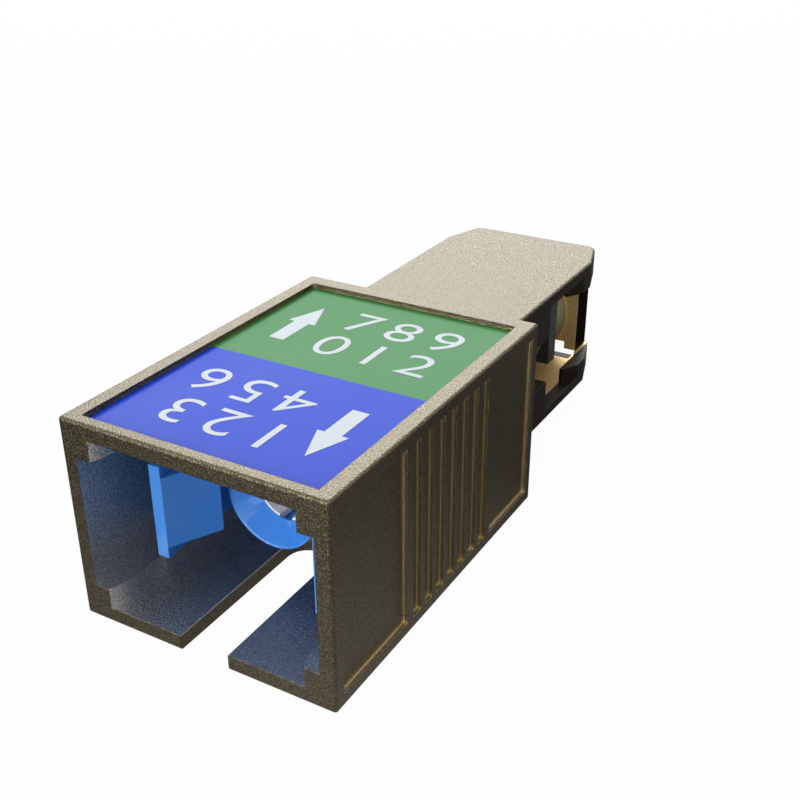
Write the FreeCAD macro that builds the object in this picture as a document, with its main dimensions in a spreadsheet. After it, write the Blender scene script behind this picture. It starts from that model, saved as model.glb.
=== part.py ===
import FreeCAD, Part
import Sketcher
import os
import re

# Hybrid fibre adapter: a square push-pull socket at one end and the matching plug at the other.
# Millimetres. Each piece is drawn from the front face of the socket (y = 0) and from the base
# (z = 0), and is then moved so that the origin lies under the middle of the whole adapter.

SIZES = {
    # Socket end of the housing
    "housing_width": 12.7,
    "housing_height": 9.525,
    "housing_length": 17.8,
    "edge_radius": 0.15,
    "port_width": 9.1,
    "port_height": 8.04,
    "flare_depth": 3.2,
    "flare_reach": 0.38,
    "recess_width": 11.3,
    "recess_height": 6.15,
    "keyway_width": 2.45,
    "keyway_length": 8.6,
    "keyway_radius": 1.0,
    # Label bed on the roof, and the labels in it
    "label_rim_side": 0.75,
    "label_rim_front": 0.55,
    "label_rim_rear": 0.9,
    "label_bed_depth": 0.35,
    "label_thickness": 0.1,
    "label_split": 8.7,
    "label_gap": 0.02,
    # Relief on the side walls
    "relief_depth": 0.2,
    "relief_base": 0.6,
    "panel_front_start": 0.6,
    "panel_front_end": 5.45,
    "panel_rear_start": 13.15,
    "panel_rear_end": 17.25,
    "groove_start": 5.93,
    "groove_width": 0.65,
    "groove_pitch": 1.008,
    "groove_count": 7,
    # Plug end of the housing
    "plug_width": 9.0,
    "plug_height": 7.4,
    "plug_length": 14.2,
    "tip_taper_length": 2.5,
    "tip_taper_inset": 0.75,
    "tip_corner_radius": 0.6,
    "grip_width_inside": 7.6,
    "grip_height_inside": 6.1,
    "tip_lead_length": 1.6,
    "tip_lead_height": 0.33,
    "key_width": 2.06,
    "key_height": 0.9,
    "key_setback": 3.0,
    # Side windows, and the release lugs that lift a latch arm as the housing is pulled back
    "slot_rear": 20.6,
    "slot_height": 2.6,
    "window_start": 23.8,
    "window_height": 6.1,
    "channel_height": 4.42,
    "lug_nose": 27.45,
    "lug_nose_width": 3.95,
    "lug_foot": 28.45,
    "lug_radius": 0.7,
    # Fits and travel
    "release_travel": 1.3,
    "travel_gap": 0.1,
    "float_gap": 0.1,
    "guide_gap": 0.1,
    # Latch insert
    "flange_thickness": 1.2,
    "arm_height": 4.45,
    "arm_outer": 4.1,
    "arm_thickness": 0.58,
    "arm_tip_depth": 2.1,
    "arm_tip_outer": 3.9,
    "right_arm_shift": 0.78,
    "hook_height": 3.4,
    "hook_reach": 2.15,
    "hook_catch_depth": 4.4,
    "latch_to_mate": 5.7,
    "holder_radius": 2.23,
    "lead_in_radius": 2.12,
    "lip_length": 1.0,
    "pass_radius": 1.37,
    "snap_width": 4.0,
    "snap_height": 0.2,
    "peg_radius": 0.5,
    "peg_length": 0.7,
    "peg_spacing": 6.6,
    # Split sleeve and ferrule
    "sleeve_length": 8.2,
    "sleeve_wall": 0.33,
    "sleeve_slit": 0.65,
    "sleeve_gap": 0.1,
    "running_gap": 0.015,
    "ferrule_radius": 1.25,
    "ferrule_chamfer": 0.5,
    "ferrule_end_radius": 0.75,
    "polish_angle": 8,
    "fibre_radius": 0.0625,
    "fibre_gap": 0.0025,
    # Collar and spring
    "collar_length": 2.4,
    "collar_flange_length": 1.4,
    "collar_radius": 1.88,
    "collar_hub_radius": 1.5,
    "collar_notch_width": 0.7,
    "collar_notch_depth": 0.35,
    "spring_radius": 1.73,
    "spring_wire": 0.26,
    "spring_turns": 6,
    # Spring carrier
    "carrier_flange": 1.0,
    "seat_wall": 3.0,
    "nose_radius": 2.45,
    "nose_bore_radius": 2.0,
    "tab_length": 0.95,
    "tab_width": 6.6,
    "tab_height": 3.58,
    # Plug frame
    "frame_length": 13.0,
    "frame_block_length": 3.3,
    "frame_radius": 2.95,
    "frame_nose_gap": 0.05,
    "shoulder_web": 1.1,
    "cup_radius": 2.4,
    "cup_depth": 3.0,
    "ear_length": 1.86,
    "ear_width": 7.3,
    "ear_height": 3.47,
    "ear_wing_inner": 2.95,
    "ear_wing_height": 4.34,
    "ear_bevel": 0.35,
}

# Places along the adapter, measured from the front face of the socket
AXIS_HEIGHT = "(housing_height / 2)"
PLUG_END = "(housing_length + plug_length)"
EAR_CATCH = f"({PLUG_END} - ear_length)"
FERRULE_TIP = f"({EAR_CATCH} + latch_to_mate)"
MATE_PLANE = "(hook_catch_depth + latch_to_mate)"
SLEEVE_FRONT = f"({MATE_PLANE} - sleeve_length / 2)"
SLEEVE_REAR = f"({MATE_PLANE} + sleeve_length / 2)"
HOLDER_FRONT = f"({SLEEVE_FRONT} - lip_length)"
INSERT_FRONT = f"({SLEEVE_REAR} - flange_thickness)"
CARRIER_STEP = f"({SLEEVE_REAR} + carrier_flange)"
RIB_FRONT = f"({CARRIER_STEP} + release_travel + travel_gap)"
SPRING_SEAT = f"({SLEEVE_REAR} + seat_wall)"
FRAME_REAR = f"({PLUG_END} - frame_length)"
SHOULDER = f"({PLUG_END} - cup_depth - shoulder_web)"
NOSE_END = f"({SHOULDER} - float_gap)"
TAB_REAR = f"({NOSE_END} - tab_length)"
COLLAR_REAR = f"({SHOULDER} - collar_length)"
COLLAR_STEP = f"({SHOULDER} - collar_flange_length)"
HALF_WIDTH = "(housing_width / 2)"
SLEEVE_BORE = "(ferrule_radius + running_gap)"
SLEEVE_OUTER = f"({SLEEVE_BORE} + sleeve_wall)"
ARM_INNER = "(arm_outer - arm_thickness)"
BLOCK_WIDTH = "(grip_width_inside - 2 * guide_gap)"
BLOCK_HEIGHT = "(grip_height_inside - 2 * guide_gap)"

# Where the flare of the mouth is drawn, as shares of its depth
FLARE_STEPS = (0, 0.12, 0.4, 1)

doc = FreeCAD.newDocument("hybrid_fibre_adapter")
sheet = doc.addObject("Spreadsheet::Sheet", "sizes")
for row, (alias, value) in enumerate(SIZES.items(), start=1):
    sheet.set(f"A{row}", alias)
    sheet.set(f"B{row}", str(value))
    sheet.setAlias(f"B{row}", alias)
doc.recompute()


def linked(formula):
    """Point every size named in a formula at its cell in the sheet."""
    return re.sub(r"[a-z_]+", lambda word: f"sizes.{word[0]}" if word[0] in SIZES else word[0], formula)


def number(formula):
    """The present value of a formula."""
    return float(sheet.evalExpression(linked(formula)))


def new_piece(name):
    """An empty body, set so that the adapter's middle lies over the origin."""
    body = doc.addObject("PartDesign::Body", name)
    body.Label = name
    body.setExpression("Placement.Base.y", linked(f"-{FERRULE_TIP} / 2"))
    return body


def origin_plane(body, role):
    return next(feature for feature in body.Origin.OriginFeatures if feature.Role == role)


def new_sketch(body, name, role, height="0", lift="0"):
    """A sketch on one of the body's own planes, moved along its normal and up its own second axis."""
    sketch = body.newObject("Sketcher::SketchObject", name)
    sketch.AttachmentSupport = [(origin_plane(body, role), "")]
    sketch.MapMode = "FlatFace"
    sketch.setExpression("AttachmentOffset.Base.z", linked(height))
    sketch.setExpression("AttachmentOffset.Base.y", linked(lift))
    return sketch


def tie(sketch, direction, geometry, point, formula):
    """Hold one coordinate of a sketch point at the value of a formula."""
    value = number(formula)
    if formula == "0":
        axis = -2 if direction == "DistanceX" else -1
        sketch.addConstraint(Sketcher.Constraint("PointOnObject", geometry, point, axis))
    elif value >= 0:
        held = sketch.addConstraint(Sketcher.Constraint(direction, -1, 1, geometry, point, value))
        sketch.setExpression(f"Constraints[{held}]", linked(formula))
    else:
        held = sketch.addConstraint(Sketcher.Constraint(direction, geometry, point, -1, 1, -value))
        sketch.setExpression(f"Constraints[{held}]", linked(f"-({formula})"))


def draw_outline(sketch, corners):
    """A closed outline of straight lines through corners, each a pair of formulas."""
    first = sketch.GeometryCount
    places = [FreeCAD.Vector(number(across), number(up), 0) for across, up in corners]
    count = len(places)
    for index in range(count):
        sketch.addGeometry(Part.LineSegment(places[index], places[(index + 1) % count]), False)
    for index in range(count):
        following = first + (index + 1) % count
        sketch.addConstraint(Sketcher.Constraint("Coincident", first + index, 2, following, 1))
    for index, (across, up) in enumerate(corners):
        tie(sketch, "DistanceX", first + index, 1, across)
        tie(sketch, "DistanceY", first + index, 1, up)


def draw_circle(sketch, across, up, radius):
    centre = FreeCAD.Vector(number(across), number(up), 0)
    drawn = sketch.addGeometry(Part.Circle(centre, FreeCAD.Vector(0, 0, 1), number(radius)), False)
    tie(sketch, "DistanceX", drawn, 3, across)
    tie(sketch, "DistanceY", drawn, 3, up)
    held = sketch.addConstraint(Sketcher.Constraint("Radius", drawn, number(radius)))
    sketch.setExpression(f"Constraints[{held}]", linked(radius))


def rectangle(width, low, high):
    """Corners of a rectangle centred across, between two heights."""
    return [
        (f"-({width}) / 2", low),
        (f"({width}) / 2", low),
        (f"({width}) / 2", high),
        (f"-({width}) / 2", high),
    ]


def centred(width, height):
    """Corners of a rectangle centred on the adapter's long axis, seen from the front."""
    return rectangle(width, f"{AXIS_HEIGHT} - ({height}) / 2", f"{AXIS_HEIGHT} + ({height}) / 2")


def extrude(kind, sketch, name, length, reverse=False, both_ways=False, through=False):
    """A Pad or a Pocket of a sketch; a Pocket that removes nothing is an error."""
    body = sketch.getParentGeoFeatureGroup()
    before = body.Tip.Shape.Volume if body.Tip else 0
    feature = body.newObject(f"PartDesign::{kind}", name)
    feature.Profile = sketch
    feature.Reversed = reverse
    if both_ways:
        feature.SideType = "Symmetric"
    if through:
        feature.Type = "ThroughAll"
    else:
        feature.setExpression("Length", linked(length))
    doc.recompute()
    changed = feature.Shape.Volume - before
    if changed == 0 or (changed < 0) != (kind == "Pocket"):
        raise RuntimeError(f"{body.Label}.{name} changed the volume by {changed:.4f}")
    return feature


def turn(kind, body, name, corners):
    """A Revolution or a Groove about the adapter's long axis; corners are (place, radius)."""
    sketch = new_sketch(body, f"{name}_profile", "YZ_Plane", lift=AXIS_HEIGHT)
    draw_outline(sketch, corners)
    feature = body.newObject(f"PartDesign::{kind}", name)
    feature.Profile = sketch
    feature.ReferenceAxis = (sketch, ["H_Axis"])
    feature.Angle = 360
    doc.recompute()
    return feature


def edges_where(feature, wanted):
    """Names of the edges whose middle and direction pass a test."""
    names = []
    for index, edge in enumerate(feature.Shape.Edges, start=1):
        ends = [vertex.Point for vertex in edge.Vertexes]
        if len(ends) == 2 and wanted((ends[0] + ends[1]) * 0.5, (ends[1] - ends[0]).normalize()):
            names.append(f"Edge{index}")
    return names


def round_edges(body, name, base, names, radius):
    feature = body.newObject("PartDesign::Fillet", name)
    feature.Base = (base, names)
    feature.setExpression("Radius", linked(radius))
    doc.recompute()
    return feature


def near(value, formula, slack=0.01):
    return abs(value - number(formula)) < slack


def cross_outline(gap):
    """The socket's cross section, the port with its two side recesses, drawn in by a gap."""
    tall = f"(port_height / 2 - {gap})"
    short = f"(recess_height / 2 - {gap})"
    narrow = f"(port_width / 2 - {gap})"
    wide = f"(recess_width / 2 - {gap})"
    corners = [
        (narrow, f"-{tall}"), (narrow, f"-{short}"), (wide, f"-{short}"),
        (wide, short), (narrow, short), (narrow, tall),
        (f"-{narrow}", tall), (f"-{narrow}", short), (f"-{wide}", short),
        (f"-{wide}", f"-{short}"), (f"-{narrow}", f"-{short}"), (f"-{narrow}", f"-{tall}"),
    ]
    return [(across, f"{AXIS_HEIGHT} + {up}") for across, up in corners]


def seen_from_front(body, name, place):
    """A sketch facing the socket's mouth, at a distance behind the front face."""
    return new_sketch(body, name, "XZ_Plane", height=f"-({place})")


def build_outer_housing():
    """One moulding: the box of the socket, and the hollow grip of the plug behind it."""
    body = new_piece("outer_housing")

    box = new_sketch(body, "box_plan", "XY_Plane")
    draw_outline(box, rectangle("housing_width", "0", "housing_length"))
    block = extrude("Pad", box, "box", "housing_height")
    edges = [f"Edge{index + 1}" for index in range(len(block.Shape.Edges))]
    round_edges(body, "box_edges", block, edges, "edge_radius")

    grip_base = f"{AXIS_HEIGHT} - plug_height / 2"
    taper_start = f"{PLUG_END} - tip_taper_length"
    plan = new_sketch(body, "grip_plan", "XY_Plane", height=grip_base)
    draw_outline(plan, [
        ("-plug_width / 2", "housing_length"),
        ("plug_width / 2", "housing_length"),
        ("plug_width / 2", taper_start),
        ("plug_width / 2 - tip_taper_inset", PLUG_END),
        ("-(plug_width / 2 - tip_taper_inset)", PLUG_END),
        ("-plug_width / 2", taper_start),
    ])
    grip = extrude("Pad", plan, "grip", "plug_height")
    corners = edges_where(grip, lambda at, along: abs(along.z) > 0.9 and near(at.y, PLUG_END))
    rounded = round_edges(body, "tip_corners", grip, corners, "tip_corner_radius")
    rims = edges_where(rounded, lambda at, along: at.y > number("housing_length") + 0.01
                       and abs(along.z) < 0.1
                       and near(abs(at.z - number(AXIS_HEIGHT)), "plug_height / 2"))
    round_edges(body, "grip_edges", rounded, rims, "edge_radius")

    key_base = f"{AXIS_HEIGHT} - plug_height / 2 - key_height"
    key = new_sketch(body, "key_plan", "XY_Plane", height=key_base)
    draw_outline(key, rectangle("key_width", "housing_length", f"{PLUG_END} - key_setback"))
    extrude("Pad", key, "key", "key_height")

    port = seen_from_front(body, "port_section", "0")
    draw_outline(port, centred("port_width", "port_height"))
    extrude("Pocket", port, "port", RIB_FRONT)

    # The mouth flares sideways along a quarter ellipse, so its sections close in fast and then slowly
    sections = []
    for step, share in enumerate(FLARE_STEPS):
        opened = f"2 * flare_reach * (1 - sqrt(1 - {(1 - share) ** 2:.4f}))"
        section = seen_from_front(body, f"flare_section_{step}", f"flare_depth * {share}")
        draw_outline(section, centred(f"port_width + {opened}", "port_height"))
        sections.append(section)
    doc.recompute()
    flare = body.newObject("PartDesign::SubtractiveLoft", "flare")
    flare.Profile = sections[0]
    flare.Sections = sections[1:]
    doc.recompute()

    recess = seen_from_front(body, "arm_recess_section", "0")
    draw_outline(recess, centred("recess_width", "recess_height"))
    extrude("Pocket", recess, "arm_recess", RIB_FRONT)

    snap = new_sketch(body, "snap_pocket_plan", "XY_Plane", height=AXIS_HEIGHT)
    draw_outline(snap, rectangle("snap_width + 4 * guide_gap", f"{INSERT_FRONT} - travel_gap",
                                 f"{RIB_FRONT}"))
    extrude("Pocket", snap, "snap_pockets", "port_height + 2 * snap_height", both_ways=True)

    keyway = new_sketch(body, "keyway_plan", "XY_Plane", height=AXIS_HEIGHT)
    draw_outline(keyway, rectangle("keyway_width", "0", "keyway_length"))
    slot = extrude("Pocket", keyway, "keyway", "0", through=True)
    inner = edges_where(slot, lambda at, along: abs(along.z) > 0.9 and near(at.y, "keyway_length")
                        and near(abs(at.x), "keyway_width / 2"))
    round_edges(body, "keyway_corners", slot, inner, "keyway_radius")

    cavity = new_sketch(body, "grip_cavity_plan", "XY_Plane", height=AXIS_HEIGHT)
    half = "grip_width_inside / 2"
    draw_outline(cavity, [
        (f"-{half}", RIB_FRONT), (half, RIB_FRONT), (half, taper_start),
        (f"{half} - tip_taper_inset", PLUG_END), (f"-({half} - tip_taper_inset)", PLUG_END),
        (f"-{half}", taper_start),
    ])
    extrude("Pocket", cavity, "grip_cavity", "grip_height_inside", both_ways=True)

    lead = new_sketch(body, "tip_lead_profile", "YZ_Plane", lift=AXIS_HEIGHT)
    low = "grip_height_inside / 2"
    lead_start = f"{PLUG_END} - tip_lead_length"
    draw_outline(lead, [
        (lead_start, f"-{low}"), (PLUG_END, f"-({low} + tip_lead_height)"),
        (PLUG_END, f"{low} + tip_lead_height"), (lead_start, low),
    ])
    extrude("Pocket", lead, "tip_lead", "grip_width_inside - 2 * tip_taper_inset", both_ways=True)

    cut_side_windows(body)
    cut_label_bed(body)
    for side in (-1, 1):
        cut_side_relief(body, side)
    return body


def cut_side_windows(body):
    """Both side walls: rear slot, window, the channel to the tip, and the ramps on its lugs."""
    outline = new_sketch(body, "window_profile", "YZ_Plane", lift=AXIS_HEIGHT)
    upper = [
        ("slot_rear", "slot_height / 2"), ("window_start", "slot_height / 2"),
        ("window_start", "window_height / 2"), ("lug_nose", "window_height / 2"),
        ("lug_nose", "channel_height / 2"), (PLUG_END, "channel_height / 2"),
    ]
    lower = [(place, f"-{height}") for place, height in reversed(upper)]
    draw_outline(outline, upper + lower)
    extrude("Pocket", outline, "side_windows", "0", through=True, both_ways=True)

    # Each lug starts thin at its nose, and its outer face climbs to the side of the grip
    ramps = new_sketch(body, "ramp_plan", "XY_Plane", height=AXIS_HEIGHT)
    for sign in ("", "-"):
        draw_outline(ramps, [
            (f"{sign}lug_nose_width", "lug_nose"), (f"{sign}(plug_width / 2)", "lug_foot"),
            (f"{sign}{HALF_WIDTH}", "lug_foot"), (f"{sign}{HALF_WIDTH}", "lug_nose"),
        ])
    cut = extrude("Pocket", ramps, "lug_ramps", "window_height", both_ways=True)
    crests = edges_where(cut, lambda at, along: abs(along.z) > 0.9 and near(at.y, "lug_foot")
                         and near(abs(at.x), "plug_width / 2"))
    round_edges(body, "lug_crests", cut, crests, "lug_radius")


def cut_label_bed(body):
    bed = new_sketch(body, "label_bed_plan", "XY_Plane", height="housing_height")
    draw_outline(bed, rectangle("housing_width - 2 * label_rim_side", "label_rim_front",
                                "housing_length - label_rim_rear"))
    extrude("Pocket", bed, "label_bed", "label_bed_depth")


def cut_side_relief(body, side):
    """Two shallow panels and a row of grooves between them, on one side wall."""
    word = "right" if side > 0 else "left"
    face = f"{side} * {HALF_WIDTH}"
    top = "housing_height - relief_base"
    panels = new_sketch(body, f"panels_{word}_profile", "YZ_Plane", height=face)
    for start, end in (("panel_front_start", "panel_front_end"), ("panel_rear_start", "panel_rear_end")):
        draw_outline(panels, [(start, "relief_base"), (end, "relief_base"), (end, top), (start, top)])
    extrude("Pocket", panels, f"panels_{word}", "relief_depth", reverse=side < 0)

    groove = new_sketch(body, f"groove_{word}_profile", "YZ_Plane", height=face)
    groove_end = "groove_start + groove_width"
    draw_outline(groove, [("groove_start", "relief_base"), (groove_end, "relief_base"),
                          (groove_end, top), ("groove_start", top)])
    first = extrude("Pocket", groove, f"groove_{word}", "relief_depth", reverse=side < 0)
    row = body.newObject("PartDesign::LinearPattern", f"grooves_{word}")
    row.Originals = [first]
    row.Direction = (origin_plane(body, "Y_Axis"), [""])
    row.Mode = "Spacing"
    row.setExpression("Offset", linked("groove_pitch"))
    row.setExpression("Occurrences", linked("groove_count"))
    body.Tip = row
    doc.recompute()


def build_latch_insert():
    """Plastic insert of the socket: flange, two hooked arms and the holder of the sleeve."""
    body = new_piece("latch_insert")

    plate = seen_from_front(body, "flange_section", INSERT_FRONT)
    draw_outline(plate, cross_outline("guide_gap"))
    extrude("Pad", plate, "flange", "flange_thickness", reverse=True)

    ridge = new_sketch(body, "snap_ridge_plan", "XY_Plane", height=AXIS_HEIGHT)
    draw_outline(ridge, rectangle("snap_width", INSERT_FRONT, SLEEVE_REAR))
    extrude("Pad", ridge, "snap_ridges", "port_height + 2 * snap_height - 2 * guide_gap", both_ways=True)

    turn("Revolution", body, "holder", [
        (HOLDER_FRONT, "0"), (SLEEVE_REAR, "0"), (SLEEVE_REAR, "holder_radius"),
        (HOLDER_FRONT, "holder_radius"),
    ])
    turn("Groove", body, "holder_bore", [
        (HOLDER_FRONT, "0"), (HOLDER_FRONT, "lead_in_radius"), (SLEEVE_FRONT, "pass_radius"),
        (SLEEVE_FRONT, f"{SLEEVE_OUTER} + sleeve_gap"), (SLEEVE_REAR, f"{SLEEVE_OUTER} + sleeve_gap"),
        (SLEEVE_REAR, "0"),
    ])

    add_latch_arm(body, "left", "-", "0")
    add_latch_arm(body, "right", "", "right_arm_shift")

    pegs = seen_from_front(body, "peg_section", SLEEVE_REAR)
    for side in ("-", ""):
        draw_circle(pegs, f"{side}peg_spacing / 2", AXIS_HEIGHT, "peg_radius")
    extrude("Pad", pegs, "pegs", "peg_length", reverse=True)
    return body


def add_latch_arm(body, word, sign, shift):
    """A springy arm on one side of the flange, with the hook that holds a plug."""
    straight = "hook_catch_depth + arm_thickness"
    at = {place: f"{sign}({width} + {shift})" for place, width in {
        "outer": "arm_outer", "inner": ARM_INNER, "tip_outer": "arm_tip_outer",
        "tip_inner": "arm_tip_outer - arm_thickness", "catch": "hook_reach",
    }.items()}
    bar = new_sketch(body, f"{word}_arm_plan", "XY_Plane", height=AXIS_HEIGHT)
    draw_outline(bar, [
        (at["inner"], INSERT_FRONT), (at["inner"], straight), (at["tip_inner"], "arm_tip_depth"),
        (at["tip_outer"], "arm_tip_depth"), (at["outer"], straight), (at["outer"], INSERT_FRONT),
    ])
    extrude("Pad", bar, f"{word}_arm", "arm_height", both_ways=True)
    hook = new_sketch(body, f"{word}_hook_plan", "XY_Plane", height=AXIS_HEIGHT)
    draw_outline(hook, [
        (at["tip_inner"], "arm_tip_depth"), (at["tip_outer"], "hook_catch_depth"),
        (at["catch"], "hook_catch_depth"),
    ])
    extrude("Pad", hook, f"{word}_hook", "hook_height", both_ways=True)


def build_split_sleeve():
    """Ceramic sleeve, slit along its underside, that lines up the two ferrules."""
    body = new_piece("split_sleeve")
    turn("Revolution", body, "tube", [
        (SLEEVE_FRONT, SLEEVE_BORE), (SLEEVE_REAR, SLEEVE_BORE),
        (SLEEVE_REAR, SLEEVE_OUTER), (SLEEVE_FRONT, SLEEVE_OUTER),
    ])
    slit = new_sketch(body, "slit_plan", "XY_Plane", height=AXIS_HEIGHT)
    draw_outline(slit, rectangle("sleeve_slit", SLEEVE_FRONT, SLEEVE_REAR))
    extrude("Pocket", slit, "slit", "0", through=True)
    return body


def build_spring_carrier():
    """Carrier behind the insert: it seats the spring and snaps into the plug frame."""
    body = new_piece("spring_carrier")

    plate = seen_from_front(body, "flange_section", SLEEVE_REAR)
    draw_outline(plate, cross_outline("guide_gap"))
    extrude("Pad", plate, "flange", "carrier_flange", reverse=True)

    block = seen_from_front(body, "block_section", CARRIER_STEP)
    draw_outline(block, centred(BLOCK_WIDTH, BLOCK_HEIGHT))
    extrude("Pad", block, "block", f"{FRAME_REAR} - {CARRIER_STEP}", reverse=True)

    turn("Revolution", body, "nose", [
        (FRAME_REAR, "0"), (NOSE_END, "0"), (NOSE_END, "nose_radius"), (FRAME_REAR, "nose_radius"),
    ])
    tabs = seen_from_front(body, "tab_section", TAB_REAR)
    draw_outline(tabs, centred("tab_width", "tab_height"))
    extrude("Pad", tabs, "tabs", "tab_length", reverse=True)
    turn("Groove", body, "spring_bore", [
        (SLEEVE_REAR, "0"), (SLEEVE_REAR, "pass_radius"), (SPRING_SEAT, "pass_radius"),
        (SPRING_SEAT, "nose_bore_radius"), (NOSE_END, "nose_bore_radius"), (NOSE_END, "0"),
    ])
    holes = seen_from_front(body, "peg_hole_section", SLEEVE_REAR)
    for side in ("-", ""):
        draw_circle(holes, f"{side}peg_spacing / 2", AXIS_HEIGHT, "peg_radius + running_gap")
    extrude("Pocket", holes, "peg_holes", "peg_length + travel_gap")
    return body


def build_plug_frame():
    """Inner frame of the plug, with an ear on each side for a latch arm to catch."""
    body = new_piece("plug_frame")

    block = seen_from_front(body, "block_section", FRAME_REAR)
    draw_outline(block, centred(BLOCK_WIDTH, BLOCK_HEIGHT))
    extrude("Pad", block, "block", "frame_block_length", reverse=True)
    turn("Revolution", body, "tube", [
        (FRAME_REAR, "0"), (PLUG_END, "0"), (PLUG_END, "frame_radius"), (FRAME_REAR, "frame_radius"),
    ])
    ears = seen_from_front(body, "ear_section", EAR_CATCH)
    draw_outline(ears, centred("ear_width", "ear_height"))
    extrude("Pad", ears, "ears", "ear_length", reverse=True)
    wings = seen_from_front(body, "ear_wing_section", EAR_CATCH)
    low = f"{AXIS_HEIGHT} - ear_wing_height / 2"
    high = f"{AXIS_HEIGHT} + ear_wing_height / 2"
    for sign in ("", "-"):
        inner, outer = f"{sign}ear_wing_inner", f"{sign}(ear_width / 2)"
        draw_outline(wings, [(inner, low), (outer, low), (outer, high), (inner, high)])
    pad = extrude("Pad", wings, "ear_wings", "ear_length", reverse=True)
    leading = edges_where(pad, lambda at, along: abs(along.z) > 0.9 and near(at.y, PLUG_END)
                          and near(abs(at.x), "ear_width / 2"))
    bevel = body.newObject("PartDesign::Chamfer", "ear_bevels")
    bevel.Base = (pad, leading)
    bevel.setExpression("Size", linked("ear_bevel"))
    doc.recompute()

    socket = "nose_radius + frame_nose_gap"
    turn("Groove", body, "bores", [
        (FRAME_REAR, "0"), (FRAME_REAR, socket), (SHOULDER, socket), (SHOULDER, "pass_radius"),
        (f"{SHOULDER} + shoulder_web", "pass_radius"), (f"{SHOULDER} + shoulder_web", "cup_radius"),
        (PLUG_END, "cup_radius"), (PLUG_END, "0"),
    ])
    tab_slot = new_sketch(body, "tab_slot_profile", "YZ_Plane", lift=AXIS_HEIGHT)
    high = "tab_height / 2 + frame_nose_gap"
    slot_start = f"{TAB_REAR} - frame_nose_gap"
    draw_outline(tab_slot, [(slot_start, f"-({high})"), (SHOULDER, f"-({high})"),
                            (SHOULDER, high), (slot_start, high)])
    extrude("Pocket", tab_slot, "tab_slots", "tab_width", both_ways=True)
    return body


def build_stub_ferrule():
    """Long ceramic ferrule: flat-polished in the socket, polished at an angle at the plug's tip."""
    body = new_piece("stub_ferrule")
    bore = "fibre_radius + fibre_gap"
    turn("Revolution", body, "rod", [
        (MATE_PLANE, bore), (FERRULE_TIP, bore), (FERRULE_TIP, "ferrule_end_radius"),
        (f"{FERRULE_TIP} - ferrule_chamfer", "ferrule_radius"),
        (f"{MATE_PLANE} + ferrule_chamfer", "ferrule_radius"), (MATE_PLANE, "ferrule_end_radius"),
    ])
    polish = new_sketch(body, "polish_profile", "YZ_Plane", lift=AXIS_HEIGHT)
    above = "ferrule_radius"
    clear = f"{FERRULE_TIP} + ferrule_radius"
    draw_outline(polish, [
        (f"{FERRULE_TIP} - (ferrule_end_radius + {above}) * tan(polish_angle)", f"-{above}"),
        (clear, f"-{above}"), (clear, above),
        (f"{FERRULE_TIP} - (ferrule_end_radius - {above}) * tan(polish_angle)", above),
    ])
    extrude("Pocket", polish, "angled_end", "2 * ferrule_radius", both_ways=True)
    return body


def build_fibre_core():
    """The glass fibre bonded along the ferrule."""
    body = new_piece("fibre_core")
    fibre_end = f"{FERRULE_TIP} - (ferrule_end_radius + fibre_radius) * tan(polish_angle)"
    turn("Revolution", body, "fibre", [
        (MATE_PLANE, "0"), (fibre_end, "0"), (fibre_end, "fibre_radius"), (MATE_PLANE, "fibre_radius"),
    ])
    return body


def build_ferrule_collar():
    """Metal collar pressed on the ferrule; its notched flange takes the spring's push."""
    body = new_piece("ferrule_collar")
    turn("Revolution", body, "collar", [
        (COLLAR_REAR, "ferrule_radius"), (SHOULDER, "ferrule_radius"), (SHOULDER, "collar_radius"),
        (COLLAR_STEP, "collar_radius"), (COLLAR_STEP, "collar_hub_radius"),
        (COLLAR_REAR, "collar_hub_radius"),
    ])
    notch = seen_from_front(body, "notch_section", COLLAR_STEP)
    draw_outline(notch, rectangle("collar_notch_width",
                                  f"{AXIS_HEIGHT} + collar_radius - collar_notch_depth",
                                  f"{AXIS_HEIGHT} + collar_radius + collar_notch_depth"))
    across = new_sketch(body, "other_notch_section", "XZ_Plane", height=f"-{COLLAR_STEP}")
    low = f"{AXIS_HEIGHT} - collar_radius - collar_notch_depth"
    draw_outline(across, rectangle("collar_notch_width", low, f"{low} + 2 * collar_notch_depth"))
    extrude("Pocket", notch, "notch", "collar_flange_length")
    extrude("Pocket", across, "other_notch", "collar_flange_length")
    return body


def build_ferrule_spring():
    """Coil spring between the carrier's seat and the collar's flange, its wire drawn with six sides."""
    body = new_piece("ferrule_spring")
    start = f"{SPRING_SEAT} + spring_wire / 2"
    wire = new_sketch(body, "wire_section", "YZ_Plane", lift=AXIS_HEIGHT)
    across_flat = "spring_wire / 2"
    half_side = "spring_wire * tan(30) / 2"
    draw_outline(wire, [
        (f"{start} - {across_flat}", f"spring_radius - {half_side}"),
        (start, f"spring_radius - 2 * {half_side}"),
        (f"{start} + {across_flat}", f"spring_radius - {half_side}"),
        (f"{start} + {across_flat}", f"spring_radius + {half_side}"),
        (start, f"spring_radius + 2 * {half_side}"),
        (f"{start} - {across_flat}", f"spring_radius + {half_side}"),
    ])
    coil = body.newObject("PartDesign::AdditiveHelix", "coil")
    coil.Profile = wire
    coil.ReferenceAxis = (wire, ["H_Axis"])
    coil.Mode = "height-turns-angle"
    coil.setExpression("Height", linked(f"{COLLAR_STEP} - {SPRING_SEAT} - spring_wire"))
    coil.setExpression("Turns", linked("spring_turns"))
    doc.recompute()
    return body


def build_label(name, start, end):
    """A thin colour label lying in the bed on the roof."""
    body = new_piece(name)
    plan = new_sketch(body, "plan", "XY_Plane", height="housing_height - label_bed_depth")
    draw_outline(plan, rectangle("housing_width - 2 * label_rim_side - 2 * label_gap", start, end))
    extrude("Pad", plan, "sheet", "label_thickness")
    return body


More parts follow.
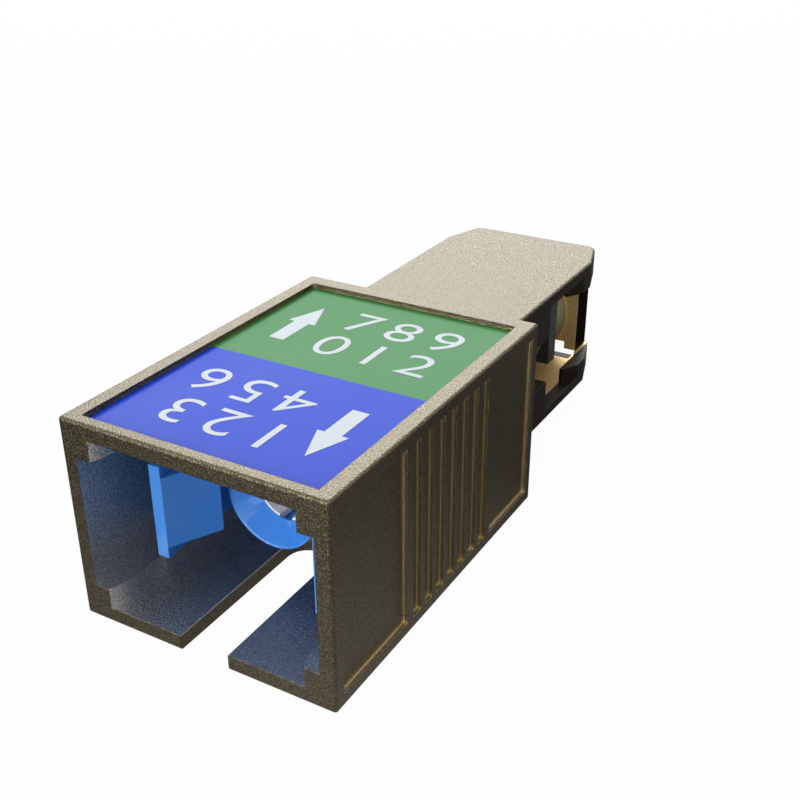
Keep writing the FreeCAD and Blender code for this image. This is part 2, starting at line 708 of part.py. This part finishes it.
pieces = [
    build_outer_housing(),
    build_latch_insert(),
    build_split_sleeve(),
    build_spring_carrier(),
    build_plug_frame(),
    build_stub_ferrule(),
    build_fibre_core(),
    build_ferrule_collar(),
    build_ferrule_spring(),
    build_label("blue_label", "label_rim_front + label_gap", "label_split"),
    build_label("green_label", "label_split", "housing_length - label_rim_rear - label_gap"),
]
doc.recompute()

for item in doc.Objects:
    if "Invalid" in item.State or "Error" in item.State:
        raise RuntimeError(f"{item.Label} failed: {item.State}")
for piece in pieces:
    if piece.Shape.isNull() or not piece.Shape.isValid() or len(piece.Shape.Solids) != 1:
        raise RuntimeError(f"{piece.Label} has no sound solid")

os.makedirs("parts", exist_ok=True)
for piece in pieces:
    piece.Shape.exportStep(f"parts/{piece.Label}.step")
    box = piece.Shape.BoundBox
    print(f"{piece.Label:15s} volume {piece.Shape.Volume:8.2f}  x {box.XMin:6.2f} {box.XMax:6.2f}"
          f"  y {box.YMin:7.2f} {box.YMax:6.2f}  z {box.ZMin:5.2f} {box.ZMax:5.2f}")
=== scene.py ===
# %% [markdown]
# # A fibre adapter in bronze coat, blue plastic and white ceramic
#
# The solids of this adapter come from its CAD model, so their sizes are already right. This lesson
# gives them their looks: a grained bronze coat on the housing, gloss plastics inside it, ceramic and
# metal along the middle, and a printed label on the roof. Then it sets the floor, light and camera.

# %% Load the CAD model
import math

import bpy
from mathutils import Matrix, Vector


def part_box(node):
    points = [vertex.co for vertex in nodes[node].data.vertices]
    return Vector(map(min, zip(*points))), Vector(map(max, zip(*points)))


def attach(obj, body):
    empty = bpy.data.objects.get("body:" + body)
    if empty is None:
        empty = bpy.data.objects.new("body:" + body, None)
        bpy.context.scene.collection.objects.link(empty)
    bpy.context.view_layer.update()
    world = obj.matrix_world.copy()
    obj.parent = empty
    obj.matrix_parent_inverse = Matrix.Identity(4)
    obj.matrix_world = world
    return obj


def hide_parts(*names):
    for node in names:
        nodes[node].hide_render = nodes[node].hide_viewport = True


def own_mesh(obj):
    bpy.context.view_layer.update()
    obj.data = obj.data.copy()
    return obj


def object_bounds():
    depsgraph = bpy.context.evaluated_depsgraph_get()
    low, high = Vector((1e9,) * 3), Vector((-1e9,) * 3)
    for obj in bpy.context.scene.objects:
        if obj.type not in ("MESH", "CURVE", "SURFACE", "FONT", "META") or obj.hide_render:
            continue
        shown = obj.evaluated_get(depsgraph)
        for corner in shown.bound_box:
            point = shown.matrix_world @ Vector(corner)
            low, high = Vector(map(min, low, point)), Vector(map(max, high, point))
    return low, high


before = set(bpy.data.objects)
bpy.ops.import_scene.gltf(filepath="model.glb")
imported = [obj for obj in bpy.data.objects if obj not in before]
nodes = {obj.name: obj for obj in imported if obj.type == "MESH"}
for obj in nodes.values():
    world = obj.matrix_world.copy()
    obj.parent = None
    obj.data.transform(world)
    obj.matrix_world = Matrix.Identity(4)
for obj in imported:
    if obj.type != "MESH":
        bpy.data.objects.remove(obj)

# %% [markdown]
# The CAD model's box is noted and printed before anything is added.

MM = 0.001
cad_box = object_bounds()
print("CAD box in mm:", [[round(value / MM, 2) for value in corner] for corner in cad_box])

# %% [markdown]
# A few helpers serve every material. Colours are given as sRGB hex, as a screen shows them, but a
# shader works with linear light, so one function converts them. Another adds a node, sets its options
# and fills its inputs, either with a plain value or with a link from another node's output. The rest are
# short names for what comes up most: a step of arithmetic, noise, a change of range, stretched
# coordinates, a bump.

# %% Helpers for node trees
def colour(code):
    """A six-digit sRGB hex code as linear red, green, blue and full alpha."""
    parts = [int(code[start:start + 2], 16) / 255 for start in (0, 2, 4)]
    return (*[part / 12.92 if part <= 0.04045 else ((part + 0.055) / 1.055) ** 2.4 for part in parts], 1.0)


def add(tree, kind, inputs=None, **options):
    """A new node of a kind in a tree; an input that is a socket becomes a link."""
    node = tree.nodes.new(kind)
    for option, value in options.items():
        setattr(node, option, value)
    for name, value in (inputs or {}).items():
        socket = node.inputs[name]
        if isinstance(value, bpy.types.NodeSocket):
            tree.links.new(value, socket)
        else:
            socket.default_value = value
    return node


def calculate(tree, operation, *numbers):
    """One step of arithmetic on plain numbers or sockets."""
    return add(tree, "ShaderNodeMath", dict(enumerate(numbers)), operation=operation).outputs[0]


def noise(tree, place, scale, detail):
    """Noise of a given scale, which is bumps per millimetre where the place is in millimetres."""
    return add(tree, "ShaderNodeTexNoise", {"Vector": place, "Scale": scale, "Detail": detail}).outputs["Fac"]


def between(tree, value, low, high, start=0.0, end=1.0):
    """A value that runs from start to end, turned into one that runs from low to high."""
    return add(tree, "ShaderNodeMapRange", {
        "Value": value, "From Min": start, "From Max": end, "To Min": low, "To Max": high}).outputs["Result"]


def stretched(tree, place, scale):
    """Coordinates scaled along each axis."""
    return add(tree, "ShaderNodeMapping", {"Vector": place, "Scale": scale}).outputs["Vector"]


def emboss(tree, shader, height, strength, distance, **more):
    """Bump on a shader, where a height of one stands for the distance."""
    bump = add(tree, "ShaderNodeBump", {"Height": height, "Strength": strength, "Distance": distance, **more})
    tree.links.new(bump.outputs["Normal"], shader.inputs["Normal"])


# %% [markdown]
# Every material here starts the same way: a Principled shader, an output, and the piece's own
# coordinates scaled so that one unit is a millimetre. A pattern's scale can then be read as cells per
# millimetre. Plain numbers such as metallic or index of refraction stay on the shader's own sockets. The
# other three helpers give a material to CAD pieces, put a new object in the scene, and take the mesh
# that an object comes to.

# %% Start a material, and put things in the scene
def new_material(name, **plain):
    """A material with one Principled shader: its tree, shader and coordinates in millimetres."""
    material = bpy.data.materials.new(name)
    material.use_nodes = True
    tree = material.node_tree
    tree.nodes.clear()
    shader = add(tree, "ShaderNodeBsdfPrincipled", plain)
    add(tree, "ShaderNodeOutputMaterial", {"Surface": shader.outputs["BSDF"]})
    place = add(tree, "ShaderNodeTexCoord").outputs["Object"]
    return material, tree, shader, stretched(tree, place, (1 / MM,) * 3)


def wear(material, *names):
    """Give a material to CAD nodes, which keep their shape."""
    for name in names:
        nodes[name].data.materials.clear()
        nodes[name].data.materials.append(material)


def new_object(name, data):
    """An object in the scene for a mesh, a curve, a lamp or a lens."""
    made = bpy.data.objects.new(name, data)
    bpy.context.scene.collection.objects.link(made)
    return made


def evaluated_mesh(maker):
    """The mesh that an object comes to, after which the object is removed."""
    bpy.context.view_layer.update()
    mesh = bpy.data.meshes.new_from_object(maker.evaluated_get(bpy.context.evaluated_depsgraph_get()))
    bpy.data.objects.remove(maker)
    return mesh


# %% [markdown]
# The housing is zinc-filled plastic with a bronze metallic coat over a leather grain, as sprayed
# hand-held parts often have. To the eye that is a dark warm metal whose grain breaks every reflection
# into small lights. A Voronoi pattern makes the pebbles, drawn a little coarser than the real grain so
# that they show, and a noise makes them uneven. The Bevel node rounds the normals at edges that the
# solid leaves sharp. In a groove or a hollow the light goes from wall to wall and picks up the metal's
# colour each time, so it comes out golden. Few bounces are traced, so that golden light is painted into
# the colour: Ambient Occlusion finds the tight places and paints a golden glow there. Boxes in the
# coordinates paint more light and shade: painted shade on the outer sides of the grip, a painted golden
# glow in its hollow, and a lighter copy of the coat inside the socket for a painted sheen.

# %% Bronze coat over a leather grain
GRAIN_PER_MM = 12.0
UNEVEN_PER_MM = 20.0
PEBBLE_HEIGHT = 0.04 * MM
EDGE_ROUNDING = 0.06 * MM
CREVICE = 0.3 * MM
AXIS_HEIGHT = cad_box[1].z / 2 / MM

# A box of painted light or shade: colours of its pebbles and pits, half its width and height, front, back
# painted shade: the outer sides of the grip are darker, as if in shade
PAINTED_SHADE_GRIP_OUTSIDE = ("3F3A30", "322D25", 4.6, 3.6, -0.1, 14.0)
# painted light: a bright golden glow inside the grip, where bounced light would be
PAINTED_GLOW_GRIP_INSIDE = ("FFEBB2", "E4BE7A", 3.81, 3.15, -0.1, 13.85)
# painted sheen: a lighter, greyer copy of the coat inside the socket, so that it mirrors more
PAINTED_SHEEN_SOCKET_INSIDE = ("E2E0DC", "B6B3AE", 5.7, 4.1, -17.9, -0.5)
# painted light: the plug frame's inside is paler, as if lit through the windows
PAINTED_LIGHT_FRAME_INSIDE = ("C9C1A8", "B5AD92", 3.62, 3.15, -0.1, 13.85)
# painted highlight: the fronts of the frame's ears are bright gold
PAINTED_HIGHLIGHT_EAR_FRONTS = ("FFF2CC", "F2D296", 3.64, 3.15, 12.1, 12.3)


def within(tree, in_mm, half_width, half_height, front, back):
    """1 in a box about the adapter's axis and 0 elsewhere, all in millimetres."""
    x, y, z = add(tree, "ShaderNodeSeparateXYZ", {"Vector": in_mm}).outputs
    inside = 1.0
    for place, centre, half in ((x, 0, half_width), (z, AXIS_HEIGHT, half_height),
                                (y, (front + back) / 2, (back - front) / 2)):
        away = calculate(tree, "ABSOLUTE", calculate(tree, "SUBTRACT", place, centre))
        inside = calculate(tree, "MULTIPLY", inside, calculate(tree, "LESS_THAN", away, half))
    return inside


def blended(tree, share, first, second):
    """Two colours mixed; each is a hex code or a node's output."""
    first, second = (colour(one) if isinstance(one, str) else one for one in (first, second))
    return add(tree, "ShaderNodeMix", {0: share, 6: first, 7: second}, data_type="RGBA").outputs[2]


def rounded_edges(tree):
    """Normals that turn round an edge instead of breaking at it."""
    return add(tree, "ShaderNodeBevel", {"Radius": EDGE_ROUNDING}, samples=4).outputs["Normal"]


def bronze_coat(name, face, pit, painted_glow, roughness, places, edge_tint="FFFFFF"):
    """A metallic coat of pebbles and pits, with a painted glow in tight corners and painted light and shade
    in boxes.
    """
    material, tree, shader, in_mm = new_material(
        name, **{"Metallic": 1.0, "Coat Weight": 0.05, "Coat Roughness": 0.3,
                 "Specular Tint": colour(edge_tint)})
    pebbles = add(tree, "ShaderNodeTexVoronoi", {"Vector": in_mm, "Scale": GRAIN_PER_MM}).outputs["Distance"]
    uneven = noise(tree, in_mm, UNEVEN_PER_MM, detail=3.0)

    open_sky = add(tree, "ShaderNodeAmbientOcclusion", {"Distance": CREVICE},
                   samples=3, only_local=True).outputs["AO"]
    # painted glow: where Ambient Occlusion finds a tight corner, this share turns the colour to the painted
    # golden glow
    corner = between(tree, open_sky, 0.0, 1.0, start=0.8, end=0.25)
    depth = between(tree, pebbles, 0.0, 1.0, start=0.15, end=0.6)
    skin_and_painted_light = blended(tree, corner, blended(tree, depth, face, pit), painted_glow)
    # painted light and shade: inside each box the coat takes that box's lighter or darker colours
    for painted_pebble, painted_pit, *box in places:
        painted_skin = blended(tree, depth, painted_pebble, painted_pit)
        skin_and_painted_light = blended(tree, within(tree, in_mm, *box), skin_and_painted_light, painted_skin)
    tree.links.new(skin_and_painted_light, shader.inputs["Base Color"])

    dull = between(tree, uneven, roughness - 0.06, roughness + 0.06, start=0.3, end=0.7)
    tree.links.new(dull, shader.inputs["Roughness"])
    height = calculate(tree, "MULTIPLY_ADD", uneven, 0.5, pebbles)
    emboss(tree, shader, height, strength=0.55, distance=PEBBLE_HEIGHT, Normal=rounded_edges(tree))
    return material


# The housing coat carries painted shade on the grip's outer sides, a painted golden glow in the hollows and
# tight corners, and a painted sheen inside the socket.
housing_coat = bronze_coat("bronze_coat_grained_painted_light_and_shade", face="7B7159", pit="585041", painted_glow="EEDAAA",
                           roughness=0.4, places=(PAINTED_SHADE_GRIP_OUTSIDE, PAINTED_GLOW_GRIP_INSIDE, PAINTED_SHEEN_SOCKET_INSIDE))
# The plug frame gets a darker copy of the same bronze, with a darkened specular tint: painted shade on the
# outer faces of its ears. Its inside and the fronts of its ears get painted light.
frame_coat = bronze_coat("bronze_coat_painted_shade_and_light", face="332E25", pit="25211A", painted_glow="CBB286",
                         roughness=0.5, places=(PAINTED_LIGHT_FRAME_INSIDE, PAINTED_HIGHLIGHT_EAR_FRONTS), edge_tint="5A4E3A")
wear(housing_coat, "outer_housing")
wear(frame_coat, "plug_frame")
print("coated:", housing_coat.name, frame_coat.name, "axis at", round(AXIS_HEIGHT, 2), "mm")

# %% [markdown]
# The insert and the carrier are injection-moulded PBT, a hard gloss plastic. Its surface is smooth but
# never optically flat: a faint long wave from the mould and a very fine orange peel bend reflections a
# little. Colour is even through the plastic, so the noise only moves the roughness.

# %% Moulded gloss plastic
def moulded_plastic(name, code, roughness, clarity):
    """A gloss plastic of one colour; clarity is how much of it has a clear glaze."""
    material, tree, shader, in_mm = new_material(
        name, **{"Base Color": colour(code), "IOR": 1.55, "Coat Weight": clarity, "Coat Roughness": 0.06})
    wave = noise(tree, in_mm, scale=0.8, detail=2.0)
    peel = noise(tree, in_mm, scale=12.0, detail=3.0)
    tree.links.new(between(tree, wave, roughness - 0.06, roughness + 0.08), shader.inputs["Roughness"])
    height = calculate(tree, "MULTIPLY_ADD", peel, 0.06, wave)
    emboss(tree, shader, height, strength=0.25, distance=0.05 * MM, Normal=rounded_edges(tree))
    return material


wear(moulded_plastic("blue_pbt_moulded", "4593EE", roughness=0.16, clarity=0.7), "latch_insert")
wear(moulded_plastic("grey_pbt_moulded", "43464C", roughness=0.28, clarity=0.3), "spring_carrier")

# %% [markdown]
# Sleeve and ferrule are zirconia ceramic, ground and polished. Zirconia is a dense white with a high
# index of refraction, so it is bright and wet-looking, and a little light goes in and comes out again.
# Fine rings from centreless grinding run round the ferrule, shown here as stretched noise.

# %% Ground zirconia
ceramic, tree, shader, in_mm = new_material("zirconia_ground", **{
    "Base Color": colour("F2F1EC"), "IOR": 2.1, "Subsurface Weight": 0.15, "Subsurface Scale": 0.4 * MM})
rings = noise(tree, stretched(tree, in_mm, (0.5, 9.0, 0.5)), scale=2.0, detail=3.0)
tree.links.new(between(tree, rings, 0.16, 0.3), shader.inputs["Roughness"])
emboss(tree, shader, rings, strength=0.1, distance=0.01 * MM)
wear(ceramic, "split_sleeve", "stub_ferrule")

# %% [markdown]
# The collar is turned steel with nickel on it, and the spring is drawn stainless wire. Both are bare
# metals that take their colour from their surroundings. Turning leaves rings round the axis, and
# drawing leaves scratches on the wire, so the same recipe serves with a different stretch.

# %% Bare metals
def bare_metal(name, code, stretch, roughness):
    """A metal with tool marks, drawn out by the stretch along each axis."""
    material, tree, shader, in_mm = new_material(name, **{"Base Color": colour(code), "Metallic": 1.0})
    marks = noise(tree, stretched(tree, in_mm, stretch), scale=4.0, detail=4.0)
    tree.links.new(between(tree, marks, roughness - 0.08, roughness + 0.1), shader.inputs["Roughness"])
    emboss(tree, shader, marks, strength=0.2, distance=0.01 * MM)
    return material


nickel = bare_metal("nickel_plated_steel_turned", "C9C4B8", stretch=(0.5, 8.0, 0.5), roughness=0.24)
wire_steel = bare_metal("stainless_wire_drawn", "B9BABB", stretch=(3.0, 3.0, 3.0), roughness=0.3)
wear(nickel, "ferrule_collar")

# %% [markdown]
# The fibre is a glass thread an eighth of a millimetre thick. Only its two polished ends show, as a
# clear dot in the ceramic. Glass is a transmission shader at an index of 1.46, with a trace of noise in
# its roughness from the last polishing film.

# %% Polished glass fibre
glass, tree, shader, in_mm = new_material("silica_fibre_polished", **{
    "Base Color": colour("DCE6EA"), "IOR": 1.46, "Transmission Weight": 0.9})
polish = noise(tree, in_mm, scale=60.0, detail=2.0)
tree.links.new(between(tree, polish, 0.02, 0.08), shader.inputs["Roughness"])
wear(glass, "fibre_core")

# %% [markdown]
# The two labels are polyester film, printed and laminated. The film lies flat in its bed, so the eye
# sees one even colour under a thin soft gloss. Slow waves in the adhesive bend the gloss slightly.

# %% Printed film
def printed_film(name, code):
    """A film or an ink of one colour with a faint gloss."""
    material, tree, shader, in_mm = new_material(name, **{
        "Base Color": colour(code), "IOR": 1.5, "Specular IOR Level": 0.04})
    wave = noise(tree, in_mm, scale=0.25, detail=2.0)
    tree.links.new(between(tree, wave, 0.26, 0.34), shader.inputs["Roughness"])
    emboss(tree, shader, wave, strength=0.05, distance=0.05 * MM)
    return material


wear(printed_film("polyester_film_blue", "2049D6"), "blue_label")
wear(printed_film("polyester_film_green", "4E9651"), "green_label")
white_ink = printed_film("screen_ink_white", "E1E7E9")

# %% [markdown]
# On the labels, screen ink stands a hundredth or two of a millimetre above the film. Each label has an
# arrow that points to its own end of the adapter, and two rows of plain digits beside it. The sizes of
# the print come first, and the places of the labels come from the CAD pieces.

# %% Sizes of the print
INK = 0.015 * MM
CAP_HEIGHT = 2.08 * MM
CAP_SHARE_OF_FONT = 0.70
STROKE_THINNING = 0.02 * MM
DIGIT_WIDENING = 1.18
DIGIT_SPACING = 1.25
ROW_LEFT = -1.7 * MM
FIRST_ROW = 4.5 * MM
ROW_PITCH = 2.8 * MM
ARROW_ACROSS = -3.6 * MM
ARROW_TAIL = 2.13 * MM
ARROW_TIP = 6.15 * MM
HEAD_LENGTH = 1.95 * MM
HEAD_WIDTH = 1.45 * MM
SHAFT_WIDTH = 0.8 * MM

label_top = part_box("blue_label")[1].z
label_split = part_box("green_label")[0].y
label_rows = {"blue_label": ("123", "456"), "green_label": ("789", "012")}

# %% [markdown]
# The arrow is seven corners worked out from its own sizes. A digit row is a text object made into a
# mesh. The blue label is read from the other side, so the same drawing is turned half round.

# %% Print on the labels
def printed(name, mesh, place):
    """A print made of a mesh: set in place by a matrix, in white ink, and carried by the housing."""
    mesh.transform(place)
    piece = new_object(name, mesh)
    mesh.materials.clear()
    mesh.materials.append(white_ink)
    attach(piece, "housing")
    return piece


def arrow_mesh(name):
    """An arrow along Y, with its thickness, as one closed mesh."""
    shaft, head, neck = SHAFT_WIDTH / 2, HEAD_WIDTH / 2, ARROW_TIP - HEAD_LENGTH
    outline = [(-shaft, ARROW_TAIL), (shaft, ARROW_TAIL), (shaft, neck), (head, neck),
               (0, ARROW_TIP), (-head, neck), (-shaft, neck)]
    low = [(ARROW_ACROSS + x, y, 0) for x, y in outline]
    high = [(x, y, INK) for x, y, _ in low]
    count = len(outline)
    sides = [(step, (step + 1) % count, (step + 1) % count + count, step + count) for step in range(count)]
    mesh = bpy.data.meshes.new(name)
    mesh.from_pydata(low + high, [], [tuple(reversed(range(count))), tuple(range(count, 2 * count)), *sides])
    return mesh


def digits_mesh(name, text):
    """A row of digits as one mesh, its lower left corner at the origin."""
    curve = bpy.data.curves.new(name, "FONT")
    curve.body = text
    curve.size = CAP_HEIGHT / CAP_SHARE_OF_FONT
    curve.space_character = DIGIT_SPACING
    curve.extrude = INK / 2
    curve.offset = -STROKE_THINNING
    curve.resolution_u = 6
    mesh = evaluated_mesh(new_object(name, curve))
    corner = Vector(map(min, zip(*[vertex.co for vertex in mesh.vertices])))
    mesh.transform(Matrix.Diagonal((DIGIT_WIDENING, 1, 1, 1)) @ Matrix.Translation(-corner))
    return mesh


for label, turned in (("green_label", 0), ("blue_label", math.pi)):
    home = Matrix.Translation((0, label_split, label_top)) @ Matrix.Rotation(turned, 4, "Z")
    arrow = arrow_mesh(f"{label}_arrow")
    printed(f"{label}_arrow", arrow, home)
    for row, text in enumerate(label_rows[label]):
        digits = digits_mesh(f"{label}_row_{row + 1}", text)
        at = Matrix.Translation((ROW_LEFT, FIRST_ROW - ROW_PITCH * row, 0))
        printed(f"{label}_row_{row + 1}", digits, home @ at)
print("label split at", round(label_split / MM, 2), "mm, film top at", round(label_top / MM, 3), "mm")

# %% [markdown]
# The spring in the CAD model has wire with six sides, to keep that model light. Round wire takes its
# place here. A spiral is a rule, not a shape to draw, so Geometry Nodes make it: a spiral curve with a
# round section swept along it, which is then turned to lie along the adapter. Turns, radius, length and
# wire are inputs of the tree, and the CAD piece gives the radius and the length. In the real adapter the
# spring shortens by as much as the ferrule travels when a plug pushes it back. Here the coil is made
# once, at the CAD piece's length.

# %% Round wire for the spring
TURNS = 6.0
WIRE = 0.26 * MM


def coil_tree():
    """A node tree that makes a coil about Z from four sizes."""
    tree = bpy.data.node_groups.new("coil", "GeometryNodeTree")
    for name in ("Turns", "Radius", "Length", "Wire"):
        tree.interface.new_socket(name, in_out="INPUT", socket_type="NodeSocketFloat")
    tree.interface.new_socket("Geometry", in_out="OUTPUT", socket_type="NodeSocketGeometry")
    size = add(tree, "NodeGroupInput").outputs
    spiral = add(tree, "GeometryNodeCurveSpiral", {
        "Resolution": 32, "Rotations": size["Turns"], "Start Radius": size["Radius"],
        "End Radius": size["Radius"], "Height": size["Length"]}).outputs["Curve"]
    section = add(tree, "GeometryNodeCurvePrimitiveCircle", {
        "Resolution": 12, "Radius": calculate(tree, "MULTIPLY", size["Wire"], 0.5)}).outputs["Curve"]
    wire = add(tree, "GeometryNodeCurveToMesh", {
        "Curve": spiral, "Profile Curve": section, "Fill Caps": True}).outputs["Mesh"]
    smooth = add(tree, "GeometryNodeSetShadeSmooth", {"Geometry": wire}).outputs["Geometry"]
    real = add(tree, "GeometryNodeRealizeInstances", {"Geometry": smooth}).outputs["Geometry"]
    steel = add(tree, "GeometryNodeSetMaterial", {
        "Geometry": real, "Material": wire_steel}).outputs["Geometry"]
    add(tree, "NodeGroupOutput", {"Geometry": steel})
    return tree


low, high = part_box("ferrule_spring")
coil_sizes = {"Turns": TURNS, "Radius": (high.x - low.x) / 2 - WIRE / 2,
              "Length": high.y - low.y - WIRE, "Wire": WIRE}
maker = new_object("coil_maker", bpy.data.meshes.new("coil_maker"))
modifier = maker.modifiers.new("coil", "NODES")
modifier.node_group = coil_tree()
for item in modifier.node_group.interface.items_tree:
    if item.in_out == "INPUT":
        modifier[item.identifier] = coil_sizes[item.name]
coil = evaluated_mesh(maker)
start = Matrix.Translation((0, low.y + WIRE / 2, (low.z + high.z) / 2))
coil.transform(start @ Matrix.Rotation(-math.pi / 2, 4, "X"))
spring = new_object("spring_round_wire", coil)
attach(spring, "inner_unit")
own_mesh(spring)
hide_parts("ferrule_spring")
print("spring wire triangles:", sum(len(face.vertices) - 2 for face in coil.polygons))

# %% [markdown]
# The adapter stands on a plain pale floor. To the camera most of the floor's light is a plain white, so
# that it runs into the white world without a line, and the rest is real, so it keeps the object's
# shadow. What the bronze mirrors is mostly a painted pool of light: the floor glows in reflections
# only, brightest at the near corner. It makes the bars of the mouth and the front panel lighter than
# the panel behind.

# %% A pale floor
FLOOR_SIZE = 3.0
UNDER = -0.01 * MM
WHITE_LEVEL = 1.06
WHITE_SHARE = 0.92
# how much of the floor, as reflections see it, is the painted pool of light
PAINTED_POOL_SHARE = 0.7
# painted pool of light, seen only in reflections: its centre, its reach, its level in the middle and at its
# edge
PAINTED_POOL_CENTRE = (6 * MM, -20 * MM, UNDER)
PAINTED_POOL_REACH = 24 * MM
PAINTED_POOL_LEVEL = 0.7
PAINTED_POOL_EDGE_LEVEL = 0.1

edge = FLOOR_SIZE / 2
corners = ((-edge, -edge), (edge, -edge), (edge, edge), (-edge, edge))
floor_mesh = bpy.data.meshes.new("floor")
floor_mesh.from_pydata([(x, y, UNDER) for x, y in corners], [], [(0, 1, 2, 3)])
floor = new_object("floor", floor_mesh)
paper = bpy.data.materials.new("matt_white_paper")
paper.use_nodes = True
tree = paper.node_tree
tree.nodes.clear()
rays = add(tree, "ShaderNodeLightPath").outputs
place = add(tree, "ShaderNodeTexCoord").outputs["Object"]
# painted pool of light: in reflections the floor glows, brightest near the adapter's near corner and fading
# outwards
away = add(tree, "ShaderNodeVectorMath", {0: place, 1: PAINTED_POOL_CENTRE}, operation="DISTANCE").outputs["Value"]
painted_pool = between(tree, away, PAINTED_POOL_LEVEL, PAINTED_POOL_EDGE_LEVEL, end=PAINTED_POOL_REACH)
white_or_painted_pool = between(tree, rays["Is Glossy Ray"], WHITE_LEVEL, painted_pool)
through = calculate(tree, "MAXIMUM", rays["Is Camera Ray"], rays["Is Transmission Ray"])
# painted pool: reflections see mostly this glow in place of the lit floor
painted_pool_share = calculate(tree, "MULTIPLY", rays["Is Glossy Ray"], PAINTED_POOL_SHARE)
share = calculate(tree, "MULTIPLY_ADD", through, WHITE_SHARE, painted_pool_share)
lit = add(tree, "ShaderNodeBsdfDiffuse", {"Color": colour("7E7E7E")}).outputs["BSDF"]
plain = add(tree, "ShaderNodeEmission", {"Color": colour("FFFFFF"), "Strength": white_or_painted_pool}).outputs["Emission"]
both = add(tree, "ShaderNodeMixShader", {0: share, 1: lit, 2: plain}).outputs["Shader"]
add(tree, "ShaderNodeOutputMaterial", {"Surface": both})
floor_mesh.materials.append(paper)

# %% [markdown]
# The world is white to the camera and in reflections, and dimmer as a lamp, so that it fills the
# shadows and no more. Two soft boxes do the rest. The key stands behind and above the adapter, where
# the roof mirrors it, which is what turns the bronze pale there. The fill stands low in front of the
# socket, a little to the left, and reaches into it.

# %% Soft light
WORLD_AS_LAMP = 0.2
MIDDLE = Vector((0, 0, 5 * MM))
CAMERA_AZIMUTH = math.radians(30.03)
CAMERA_ELEVATION = math.radians(27.17)

world = bpy.data.worlds.new("white_room")
world.use_nodes = True
bpy.context.scene.world = world
tree = world.node_tree
tree.nodes.clear()
rays = add(tree, "ShaderNodeLightPath").outputs
seen = calculate(tree, "MAXIMUM", rays["Is Camera Ray"], rays["Is Glossy Ray"])
seen = calculate(tree, "MAXIMUM", seen, rays["Is Transmission Ray"])
strength = between(tree, seen, WORLD_AS_LAMP, 1.0)
sky = add(tree, "ShaderNodeBackground", {
    "Color": colour("FFFFFF"), "Strength": strength}).outputs["Background"]
add(tree, "ShaderNodeOutputWorld", {"Surface": sky})


def around(azimuth, elevation, distance):
    """A place round the adapter: azimuth 0 is in front of the socket, growing towards +X."""
    flat = distance * math.cos(elevation)
    return Vector((flat * math.sin(azimuth), -flat * math.cos(azimuth), distance * math.sin(elevation)))


def soft_box(name, place, width, height, radiance, tint):
    """A rectangular lamp at a place, turned to the adapter, as bright as the metal is to mirror it."""
    lamp = bpy.data.lights.new(name, "AREA")
    lamp.shape = "RECTANGLE"
    lamp.size, lamp.size_y = width, height
    lamp.energy = radiance * math.pi * width * height
    lamp.color = colour(tint)[:3]
    box = new_object(name, lamp)
    box.location = place
    box.rotation_euler = (MIDDLE - place).to_track_quat("-Z", "Y").to_euler()


soft_box("key", around(CAMERA_AZIMUTH + math.pi, math.radians(38), 0.4),
         width=0.34, height=0.20, radiance=8.2, tint="F0F5FF")
soft_box("fill", around(math.radians(-8), math.radians(14), 0.5),
         width=0.4, height=0.25, radiance=6.5, tint="FFFFFF")

# %% [markdown]
# The camera was found by fitting the box's straight edges to the photograph. It is a 50 mm lens, about
# six centimetres off, a little to the right of the socket and looking down on it.

# %% Camera
CAMERA_PLACE = (24.516 * MM, -44.463 * MM, 29.910 * MM)
CAMERA_ROLL = math.radians(-0.19)

lens = bpy.data.cameras.new("camera")
lens.lens = 50.0
lens.sensor_width = 36.0
lens.clip_start = 1 * MM
camera = new_object("camera", lens)
forward = -around(CAMERA_AZIMUTH, CAMERA_ELEVATION, 1.0)
aimed = forward.to_track_quat("-Z", "Y").to_matrix().to_4x4()
camera.matrix_world = Matrix.Translation(CAMERA_PLACE) @ aimed @ Matrix.Rotation(CAMERA_ROLL, 4, "Z")
bpy.context.scene.camera = camera
bpy.context.scene.view_settings.view_transform = "Standard"
